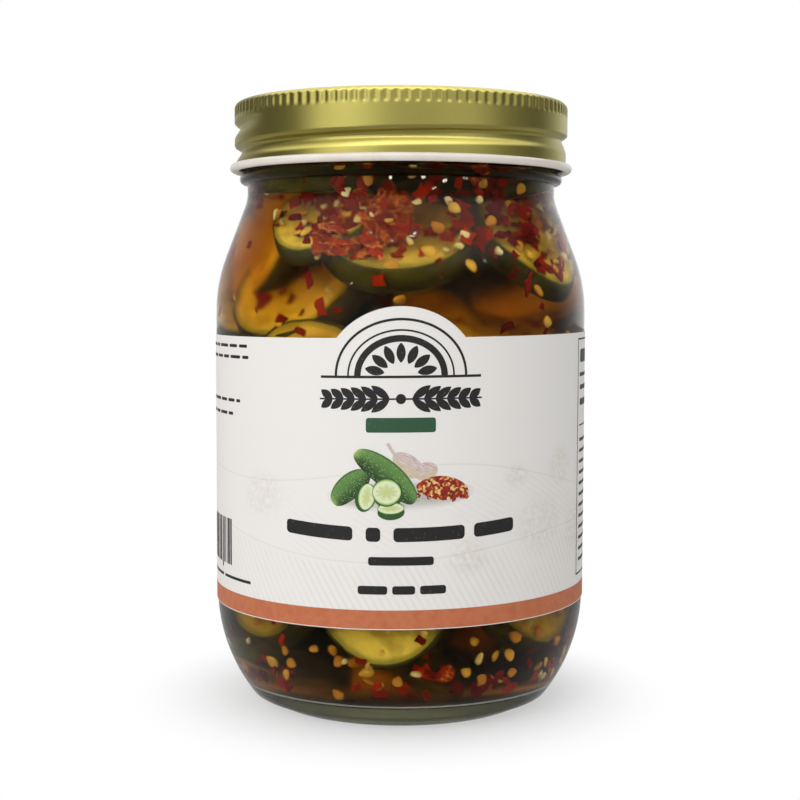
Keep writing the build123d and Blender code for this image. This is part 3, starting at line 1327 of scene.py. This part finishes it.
def label_material(look):
    """Paper with faint hills, fields, hatching and trees."""
    made = printed("label_paper")
    x, y, z = made.xyz(made.place())
    s = x.angle(y * -1) * (LABEL_R / MM)
    v = (z - x * tan(LABEL_TILT)) / MM
    flat = made.add("ShaderNodeCombineXYZ", None, {0: s, 1: v})
    soft = made.noise(0.09, 3, flat)
    fine = made.noise(0.9, 4, flat, rough=0.65)
    hill = (s * 0.075 + 0.6).wave() * 2.2 + (s * 0.031 + 2.0).wave() * 2.6
    low_hill = (s * 0.055 - 1.1).wave() * 3.0 + 39.0 - s * 0.02
    high_line = (abs(v - hill - 51.5)).ramp(0.08, 0.22, 1, 0)
    low_line = (abs(v - low_hill)).ramp(0.08, 0.22, 1, 0)
    hatch_wave = ((s * 0.62 + v * 0.36) * (tau / 0.95)).wave()
    below = (v - low_hill).ramp(-1.5, 0.0, 1, 0)
    hatch = hatch_wave.ramp(0.1, 0.9) * below * (0.35 + soft.ramp(0.35, 0.6) * 0.65)
    fields = ((s * 0.5 + v * 0.86) * (tau / 1.2)).wave().ramp(0.3, 0.95)
    fields = fields * (v - hill - 51.5).ramp(-1.0, 0.0, 1, 0) * (v - low_hill).ramp(0, 1)
    fields = fields * soft.ramp(0.45, 0.62)
    trees = None
    for at_s, at_v, size in TREES:
        away = ((s - at_s) ** 2 + ((v - at_v) * 1.15) ** 2) ** 0.5 / size
        crown = (away + (fine - 0.5) * 0.9).ramp(0.45, 1.0, 1, 0)
        trees = crown if trees is None else trees.at_least(crown)
    trees = trees * fine.ramp(0.38, 0.6)
    tint = high_line * 0.22 + low_line * 0.22 + hatch * 0.2 + fields * 0.12 + trees * 0.26
    paper = made.mix(tint.at_most(0.5), tuple(look.paper), srgb(196, 188, 166))
    made.set(Base_Color=paper)
    made.bump(made.noise(700, 3), 0.02 * MM, 0.3)
    return made


class PICKLE_JAR_OT_label(bpy.types.Operator):
    """Paper label wrapped round the panel, with an arched tab in front and open at the back"""

    bl_idname = "pickle_jar.label"
    bl_label = "Label"

    def execute(self, context):
        end = label_end()
        marks = np.concatenate([
            np.linspace(-end, -TAB_HALF, 110, endpoint=False),
            np.linspace(-TAB_HALF, TAB_HALF, 48, endpoint=False),
            np.linspace(TAB_HALF, end, 111),
        ])
        let_go()
        bpy.ops.mesh.primitive_grid_add(
            x_subdivisions=len(marks) - 1, y_subdivisions=10, size=2, location=(0, 0, 0)
        )
        piece = named("label_sheet")
        points = points_of(piece)
        for point in points:
            column = round((point[0] + 1) / 2 * (len(marks) - 1))
            s = float(marks[column])
            share = (point[1] + 1) / 2
            v = LABEL_V0 + share * (label_top(s) - LABEL_V0)
            point[:] = wrap(s, v, PAPER_LIFT)
        move_points(piece, points)
        edit(piece)
        bpy.ops.mesh.normals_make_consistent(inside=False)
        done()
        middle = piece.data.polygons[len(piece.data.polygons) // 2]
        if middle.normal.dot(Vector((middle.center.x, middle.center.y, 0))) < 0:
            edit(piece)
            bpy.ops.mesh.flip_normals()
            done()
        apply(piece, "SOLIDIFY", thickness=LABEL_T - PAPER_LIFT, offset=1)
        smooth(piece, 40)
        finish(piece, label_material(context.scene.jar_colours), "label_paper", "label")
        return {"FINISHED"}


# ---------------------------------------------------------------- print


class Print:
    """Shapes laid out on the flat label in millimetres, then wrapped and joined as one piece."""

    def __init__(self, name, lift):
        self.name, self.lift, self.parts = name, lift, []

    def sheet(self, columns, rows, place):
        """A grid whose corners go to place(u, w), with u and w from 0 to 1."""
        let_go()
        bpy.ops.mesh.primitive_grid_add(
            x_subdivisions=columns, y_subdivisions=rows, size=2, location=(0, 0, 0)
        )
        part = bpy.context.active_object
        points = points_of(part)
        local = np.zeros_like(points)
        for point, kept in zip(points, local):
            u, w = (point[0] + 1) / 2, (point[1] + 1) / 2
            s, v = place(u, w)
            kept[:] = (u * 2 - 1, w * 2 - 1, 0)
            point[:] = wrap(s * MM, v * MM, LABEL_T + self.lift)
        move_points(part, points)
        keep_place(part, local)
        self.parts.append(part)

    def bar(self, s0, s1, v0, v1, round_end=0.0, bow=0.0):
        """Bar with square or rounded ends. Bow lifts it the more, the further it is from s = 0."""
        columns = max(2, round((s1 - s0) / 0.8)) + (8 if round_end else 0)

        def place(u, w):
            if round_end:
                u = 0.5 - 0.5 * cos(pi * u)
            s = s0 + (s1 - s0) * u
            edge = min(s - s0, s1 - s)
            cut = 0
            if edge < round_end:
                cut = round_end - sqrt(max(0, round_end**2 - (round_end - edge) ** 2))
            middle, half = (v0 + v1) / 2, (v1 - v0) / 2 - cut
            return s, middle + half * (2 * w - 1) + bow * (s / 24) ** 2

        self.sheet(columns, 1, place)

    def stroke(self, path, width, columns):
        """Line of even width along path(u)."""

        def place(u, w):
            s0, v0 = path(max(0, u - 0.002))
            s1, v1 = path(min(1, u + 0.002))
            long = hypot(s1 - s0, v1 - v0) or 1
            s, v = path(u)
            off = (w - 0.5) * width
            return s - (v1 - v0) / long * off, v + (s1 - s0) / long * off

        self.sheet(columns, 1, place)

    def leaf(self, s, v, long, wide, turn, columns=16, power=0.5, bend=0.0):
        """Oval, or with a larger power a pointed leaf."""
        a = radians(turn)

        def place(u, w):
            t = -cos(pi * u)
            half = wide / 2 * max(0.0, 1 - t * t) ** power
            x, y = t * long / 2, half * (2 * w - 1) + bend * (1 - t * t)
            return s + x * cos(a) - y * sin(a), v + x * sin(a) + y * cos(a)

        self.sheet(columns, 4, place)

    def make(self, material):
        piece = joined(self.name, self.parts)
        edit(piece)
        bpy.ops.mesh.remove_doubles(threshold=1e-7)
        bpy.ops.mesh.select_all(action="SELECT")
        done()

        def faces_in(face):
            return face.normal.x * face.center.x + face.normal.y * face.center.y < 0

        if any(faces_in(face) for face in piece.data.polygons):
            edit_faces(piece, faces_in)
            bpy.ops.mesh.flip_normals()
            bpy.ops.mesh.select_mode(type="VERT")
            done()
        smooth(piece, 60)
        finish(piece, material, "label_paper")


def ink_material(name, shade, speck):
    made = Material(name, Roughness=0.45, Specular_IOR_Level=0.35)
    grain = made.noise(1500, 2)
    made.set(Base_Color=made.mix(grain.ramp(0.62, 0.75) * 0.5, shade, speck))
    return made


def print_band(look):
    edge = label_end() / MM
    band = Print("print_band", INK_LIFT)
    band.sheet(260, 1, lambda u, w: (-edge + 2 * edge * u, LABEL_V0 / MM + 0.18 + w * 3.75))
    made = printed("band_ink")
    fibre = made.noise(500, 4, rough=0.7)
    made.set(Base_Color=made.mix(fibre.ramp(0.35, 0.7) * 0.6, tuple(look.band), srgb(182, 92, 62)))
    band.make(made)


def draw_emblem(ink):
    """A cut cucumber under an arch, with a leafy sprig below it."""
    middle, base = 68.6, 73.2
    squash = 0.85

    def arch(radius):
        return lambda u: (radius * cos(pi - pi * u), base + radius * squash * sin(pi - pi * u))

    ink.stroke(arch(13.0), 0.5, 60)
    ink.stroke(arch(10.5), 0.36, 56)
    ink.bar(-16.2, 16.2, base - 0.5, base)
    ink.stroke(arch(8.6), 1.3, 50)
    for k in range(7):
        turn = 180 * (k + 0.5) / 7
        a = radians(turn)
        ink.leaf(5.3 * cos(a), base + 5.3 * squash * sin(a), 3.9, 1.8, turn, 12, 0.8)
    for side in (-1, 1):
        for k in range(6):
            s = side * (2.2 + 2.3 * k)
            long = 4.5 - 0.3 * k
            for up in (-1, 1):
                turn = (90 - side * 90) + side * up * 36
                a = radians(turn)
                ink.leaf(s + cos(a) * long / 2, middle + sin(a) * long / 2, long, 1.65, turn, 10, 0.95)
        ends = sorted((side * 0.9, side * 16.4))
        ink.bar(*ends, middle - 0.16, middle + 0.16)
    ink.leaf(0, middle, 2.0, 2.0, 0, 14)


def draw_words(ink):
    """Plain bars in the place of the large words."""
    rise = 1.1
    for s0, s1 in ((-24.2, -9.6), (-6.9, -4.0), (-1.4, 12.9), (14.9, 24.0)):
        ink.bar(s0, s1, 40.3, 43.1, 0.8, rise)
    ink.bar(-6.4, 6.6, 35.6, 37.3, 0.5, 0.3)
    for s0, s1 in ((-8.5, -2.6), (-1.6, 2.9), (3.9, 9.1)):
        ink.bar(s0, s1, 29.8, 31.5, 0.5, 0.2)


def draw_lines(ink):
    """Rows of short bars on the side of the label."""
    rows = ((78.6, -62, -34), (76.3, -66, -33.2), (67.2, -58, -38.8), (64.4, -64, -41))
    for row, (v, s, last) in enumerate(rows):
        word = 0
        while s < last - 1.5:
            width = (3.1, 4.4, 2.3, 5.0, 3.6)[(row + word) % 5]
            ink.bar(s, min(s + width, last), v - 0.32, v + 0.32, 0.2)
            s += width + 0.9
            word += 1


def draw_stripes(ink):
    s = -62.0
    for k in range(26):
        width = (0.35, 0.7, 0.35, 1.05, 0.5)[(k * 3) % 5]
        if s + width < -43:
            ink.bar(s, s + width, 32.2 if k % 12 else 31.2, 42.0)
        s += width + (0.4, 0.7, 0.35)[(k * 2) % 3]
    ink.bar(-62, -48, 29.3, 29.9, 0.2)
    ink.bar(-47, -35, 29.3, 29.9, 0.2)


def draw_panel(ink):
    """Ruled panel with rows of short bars."""
    left, right, low, high, line = 48.0, 81.95, 28.6, 79.4, 0.35
    ink.bar(left, left + line, low, high)
    ink.bar(right - line, right, low, high)
    ink.bar(left, right, high - line, high)
    ink.bar(left, right, low, low + line)
    ink.bar(49.5, 80.4, 71.2, 72.0)
    ink.bar(49.5, 80.4, 60.6, 60.9)
    for k in range(12):
        v = 57.6 - 2.35 * k
        ink.bar(49.8, 49.8 + (9, 13, 7, 11)[k % 4], v - 0.35, v + 0.35, 0.2)
        ink.bar(77.4 - (k % 3), 80.2, v - 0.35, v + 0.35, 0.2)
    ink.bar(49.8, 74, 74.2, 77.0, 0.6)
    ink.bar(49.8, 66, 68.4, 69.4, 0.4)
    ink.bar(49.8, 60, 65.0, 66.4, 0.5)
    ink.bar(73, 80.2, 65.0, 66.4, 0.5)


def print_shadow():
    shade = Print("print_shadow", 0.022 * MM)
    shade.leaf(0.0, 49.6, 30, 7.5, 2, 30)
    made = printed("soft_ink")
    x, y, _ = made.xyz(made.attribute("cut_place", "Vector"))
    fade = (1 - abs(x)).at_most(1 - abs(y)).ramp(0.0, 0.9)
    made.set(Base_Color=srgb(188, 184, 176), Alpha=fade * 0.6)
    shade.make(made)


def print_cucumbers():
    back = Print("print_cucumbers_back", INK_LIFT)
    back.leaf(-10.0, 51.0, 9.6, 4.9, 41, 20, 0.42, 0.3)
    front = Print("print_cucumbers_front", 0.05 * MM)
    front.leaf(-3.1, 53.2, 15.4, 5.3, -40, 26, 0.4, 0.7)
    for part in (back, front):
        made = printed(part.name + "_ink")
        place = made.attribute("cut_place", "Vector")
        x, y, _ = made.xyz(place)
        warts = made.cells(made.vectors("MULTIPLY", place, (2.2, 1.0, 1.0)), Scale=7.5)
        streak = made.noise(5.0, 3, made.vectors("MULTIPLY", place, (0.7, 3.0, 1.0)))
        base = made.mix((y + (streak - 0.5) * 0.9).ramp(-0.9, 0.75), srgb(36, 62, 30), srgb(96, 138, 70))
        base = made.mix(warts.ramp(0.1, 0.38, 0.8, 0), base, srgb(160, 184, 126))
        base = made.mix((x * -1 + streak * 0.5).ramp(0.75, 1.25), base, srgb(168, 198, 96))
        base = made.mix(abs(y).ramp(0.75, 1.0) * 0.6, base, srgb(26, 50, 20))
        made.set(Base_Color=base)
        part.make(made)


def print_rinds():
    rinds = Print("print_rinds", 0.06 * MM)
    rinds.leaf(-7.1, 49.0, 5.5, 3.9, 80, 22)
    rinds.leaf(-2.5, 49.9, 5.9, 5.9, 0, 22)
    rinds.lift = 0.075 * MM
    rinds.leaf(-1.9, 46.2, 5.3, 3.0, 2, 22)
    rinds.make(ink_material("rind_ink", srgb(50, 84, 42), srgb(120, 156, 92)))


def print_slices():
    rounds = Print("print_slices", 0.07 * MM)
    rounds.leaf(-6.7, 49.3, 5.4, 3.7, 80, 22)
    rounds.lift = 0.085 * MM
    rounds.leaf(-1.9, 47.0, 5.3, 2.5, 2, 22)
    rounds.lift = 0.1 * MM
    rounds.leaf(-2.75, 50.2, 5.7, 5.7, 0, 26)
    made = printed("slice_ink")
    place = made.attribute("cut_place", "Vector")
    x, y, _ = made.xyz(place)
    across = (1 - (x * x)).at_least(0.0) ** 0.5
    out = (x * x + (y * across) ** 2) ** 0.5
    rays = ((y * across).angle(x) * 9).wave().ramp(-0.6, 0.9)
    face = made.mix(out.ramp(0.1, 0.62), srgb(198, 208, 138), srgb(222, 230, 190))
    rays = rays * out.ramp(0.15, 0.3) * out.ramp(0.5, 0.62, 1, 0) * 0.35
    face = made.mix(rays, face, srgb(176, 190, 110))
    face = made.mix(out.ramp(0.72, 0.86), face, srgb(150, 190, 96))
    made.set(Base_Color=made.mix(out.ramp(0.86, 0.93), face, srgb(48, 88, 36)))
    rounds.make(made)


def print_garlic():
    garlic = Print("print_garlic", 0.035 * MM)
    garlic.leaf(4.9, 54.3, 4.9, 3.5, 12, 18)
    garlic.leaf(2.1, 54.0, 2.8, 2.2, 0, 14)
    garlic.lift = 0.045 * MM
    garlic.leaf(1.3, 55.9, 6.4, 3.6, -30, 20)
    garlic.stroke(lambda u: (-0.2 - 2.4 * u, 57.0 + 2.9 * u - 0.5 * sin(pi * u)), 0.6, 8)
    made = printed("garlic_ink")
    place = made.attribute("cut_place", "Vector")
    _, y, _ = made.xyz(place)
    streak = made.noise(4.0, 3, made.vectors("MULTIPLY", place, (0.6, 2.6, 1.0)))
    base = made.mix(streak.ramp(0.35, 0.7) * 0.75, srgb(224, 210, 198), srgb(156, 112, 138))
    base = made.mix(y.ramp(-0.9, 0.2, 0.7, 0), base, srgb(206, 192, 150))
    made.set(Base_Color=base)
    garlic.make(made)


def print_flakes():
    pile = Print("print_flakes", 0.04 * MM)
    rng = np.random.default_rng(5)
    pile.leaf(8.3, 50.9, 10.6, 4.8, -5, 20, 0.7)
    for _ in range(46):
        t = rng.uniform(-1, 1)
        s = 8.3 + 5.5 * t
        v = 49.2 - 0.4 * t + rng.uniform(-0.7, 3.9) * (1 - t * t)
        pile.leaf(s, v, rng.uniform(0.7, 1.4), rng.uniform(0.5, 0.9), rng.uniform(0, 180), 5)
    made = printed("flake_ink")
    pick = made.xyz(made.cells(made.place(), "Color", Scale=2100.0))[0]
    reds = ((0.0, srgb(120, 20, 12)), (0.45, srgb(168, 40, 20)), (0.62, srgb(112, 34, 18)))
    pales = ((0.78, srgb(200, 96, 44)), (0.9, srgb(230, 196, 120)))
    made.set(Base_Color=made.stops(pick, *reds, *pales))
    pile.make(made)


class PICKLE_JAR_OT_print(bpy.types.Operator):
    """Plain print on the label: a cut cucumber, a sprig, bars, stripes and a small still life"""

    bl_idname = "pickle_jar.print"
    bl_label = "Print"

    def execute(self, context):
        look = context.scene.jar_colours
        print_band(look)
        ink = Print("print_ink", INK_LIFT)
        for draw in (draw_emblem, draw_words, draw_lines, draw_stripes, draw_panel):
            draw(ink)
        ink.make(ink_material("dark_ink", tuple(look.ink), srgb(92, 88, 84)))
        plate = Print("print_plate", INK_LIFT)
        plate.bar(-6.9, 6.9, 62.0, 64.9, 0.5)
        plate.make(ink_material("green_ink", tuple(look.green), srgb(84, 120, 92)))
        print_shadow()
        print_cucumbers()
        print_rinds()
        print_slices()
        print_garlic()
        print_flakes()
        return {"FINISHED"}


# ---------------------------------------------------------------- stage


def make_floor():
    """Floor that the camera sees as plain white, with a soft shadow under the jar."""
    let_go()
    bpy.ops.mesh.primitive_grid_add(x_subdivisions=24, y_subdivisions=24, size=6, location=(0, 0, 0))
    floor = named("floor")
    plain = Material("floor", Roughness=0.9, Base_Color=(0.9, 0.9, 0.9))
    path = plain.light_path()
    glow = plain.add("ShaderNodeEmission", None, {"Color": (1, 1, 1), "Strength": 1.0})
    x, y, _ = plain.xyz(plain.place())
    away = (x * x + y * y) ** 0.5
    mirrored = (path("Glossy Depth") > 0.5) * (path("Diffuse Depth") < 0.5)
    plain.feed(glow.socket.node.inputs["Strength"], 1 - mirrored * 0.64)
    share = (path("Is Camera Ray") * away.ramp(0.034, 0.062, 0.5, 1.0)).at_least(mirrored * 0.85)
    matt = Shade(plain, plain.shader.outputs[0])
    plain.result(plain.add("ShaderNodeMixShader", None, {0: share, 1: matt, 2: glow}), "Surface")
    floor.data.materials.append(plain.material)


# Pale and dark panels all round that the lid mirrors: place as a share of a turn, and brightness.
PANELS = (
    (0.0, 0.4),
    (0.1, 0.3),
    (0.2, 0.07),
    (0.3, 0.1),
    (0.355, 1.0),
    (0.415, 1.0),
    (0.48, 0.42),
    (0.56, 0.42),
    (0.6, 0.5),
    (0.64, 0.48),
    (0.7, 0.17),
    (0.8, 0.06),
    (0.9, 0.5),
    (1.0, 0.4),
)


def make_world(scene, stage):
    """Plain light all round, panels for what the lid mirrors, and stronger light for the food."""
    world = bpy.data.worlds.new("studio")
    scene.world = world
    world.use_nodes = True
    sky = Nodes(world.node_tree)
    x, y, z = sky.xyz(sky.add("ShaderNodeTexCoord", output="Generated"))
    path = sky.light_path()
    mirrored = path("Glossy Depth") > 0.5
    first = path("Diffuse Depth") < 0.5
    plain = stage.fill_light * (1 - x * 0.26 - y * 0.1 + z * 0.05)
    turn = x.angle(y * -1) / tau + 0.5
    studio = sky.stops(turn, *((place, (level,) * 3) for place, level in PANELS))
    overhead = z.ramp(0.45, 0.62, 0.0, 1.7) * y.ramp(-0.7, 0.0, 1.8, 1.0)
    shine = studio * z.ramp(0.25, 0.55, 1.9, 0.6) + overhead
    lit = stage.brine_light * (0.79 - x * 0.31 - y * 0.5 + z * 0.34)
    inside = first + (1 - first) * lit
    strength = sky.blend(path("Is Transmission Ray"), plain, inside)
    strength = sky.blend(mirrored * first, strength, shine)
    strength = sky.blend(path("Is Camera Ray"), strength, 1.0)
    background = world.node_tree.nodes["Background"]
    background.inputs["Color"].default_value = (1, 1, 1, 1)
    sky.feed(background.inputs["Strength"], strength)


def make_lamps(scene, stage):
    for name, place, size, power in (
        ("key", (-0.55, -0.75, 0.55), 0.7, stage.key_power),
        ("top", (0.1, -0.1, 0.95), 0.8, stage.key_power * 0.6),
    ):
        lamp = bpy.data.lights.new(name, "AREA")
        lamp.shape, lamp.size, lamp.energy = "SQUARE", size, power
        holder = bpy.data.objects.new(name, lamp)
        scene.collection.objects.link(holder)
        holder.location = place
        holder.visible_glossy = holder.visible_transmission = False
        aim = Vector((0, 0, 0.06)) - Vector(place)
        holder.rotation_euler = aim.to_track_quat("-Z", "Y").to_euler()


# The camera's place, and how it is turned from looking level along +Y.
CAMERA_PLACE = (-1.17 * MM, -339.08 * MM, 90.55 * MM)
CAMERA_YAW = radians(0.189)
CAMERA_PITCH = radians(4.241)
CAMERA_ROLL = radians(0.173)


def make_camera(scene, stage):
    lens = bpy.data.cameras.new("camera")
    lens.lens, lens.sensor_width = stage.camera_lens, 36
    lens.clip_start = 0.01
    camera = bpy.data.objects.new("camera", lens)
    scene.collection.objects.link(camera)
    yaw, pitch, roll = CAMERA_YAW, CAMERA_PITCH, CAMERA_ROLL
    ahead = Vector((sin(yaw) * cos(pitch), cos(yaw) * cos(pitch), -sin(pitch)))
    right = Vector((cos(yaw), -sin(yaw), 0))
    up = right.cross(ahead)
    right, up = cos(roll) * right + sin(roll) * up, cos(roll) * up - sin(roll) * right
    turn = Matrix((right, up, -ahead)).transposed().to_4x4()
    camera.matrix_world = Matrix.Translation(CAMERA_PLACE) @ turn
    scene.camera = camera


class PICKLE_JAR_OT_stage(bpy.types.Operator):
    """Pale floor, soft studio light and the camera"""

    bl_idname = "pickle_jar.stage"
    bl_label = "Stage"

    def execute(self, context):
        make_floor()
        for make in (make_world, make_lamps, make_camera):
            make(context.scene, context.scene.jar_stage)
        context.scene.view_settings.view_transform = "Standard"
        return {"FINISHED"}


# ---------------------------------------------------------------- add-on

PIECES = ("glass", "brine", "slices", "spices", "lid", "label", "print", "stage")


class PICKLE_JAR_PT_panel(bpy.types.Panel):
    bl_label = "Pickle Jar"
    bl_idname = "PICKLE_JAR_PT_panel"
    bl_space_type = "VIEW_3D"
    bl_region_type = "UI"
    bl_category = "Pickle Jar"

    def draw(self, context):
        for group in (context.scene.jar_sizes, context.scene.jar_colours, context.scene.jar_stage):
            box = self.layout.box()
            for name in group.bl_rna.properties.keys():
                if name not in ("rna_type", "name"):
                    box.prop(group, name)
        for name in PIECES:
            self.layout.operator(f"pickle_jar.{name}")


CLASSES = (
    JarSizes,
    JarColours,
    JarStage,
    PICKLE_JAR_OT_glass,
    PICKLE_JAR_OT_brine,
    PICKLE_JAR_OT_slices,
    PICKLE_JAR_OT_spices,
    PICKLE_JAR_OT_lid,
    PICKLE_JAR_OT_label,
    PICKLE_JAR_OT_print,
    PICKLE_JAR_OT_stage,
    PICKLE_JAR_PT_panel,
)


def register():
    for one in CLASSES:
        bpy.utils.register_class(one)
    bpy.types.Scene.jar_sizes = bpy.props.PointerProperty(type=JarSizes)
    bpy.types.Scene.jar_colours = bpy.props.PointerProperty(type=JarColours)
    bpy.types.Scene.jar_stage = bpy.props.PointerProperty(type=JarStage)


def unregister():
    del bpy.types.Scene.jar_stage
    del bpy.types.Scene.jar_colours
    del bpy.types.Scene.jar_sizes
    for one in reversed(CLASSES):
        bpy.utils.unregister_class(one)


def main():
    register()
    for name in PIECES:
        getattr(bpy.ops.pickle_jar, name)()


if __name__ == "__main__":
    main()
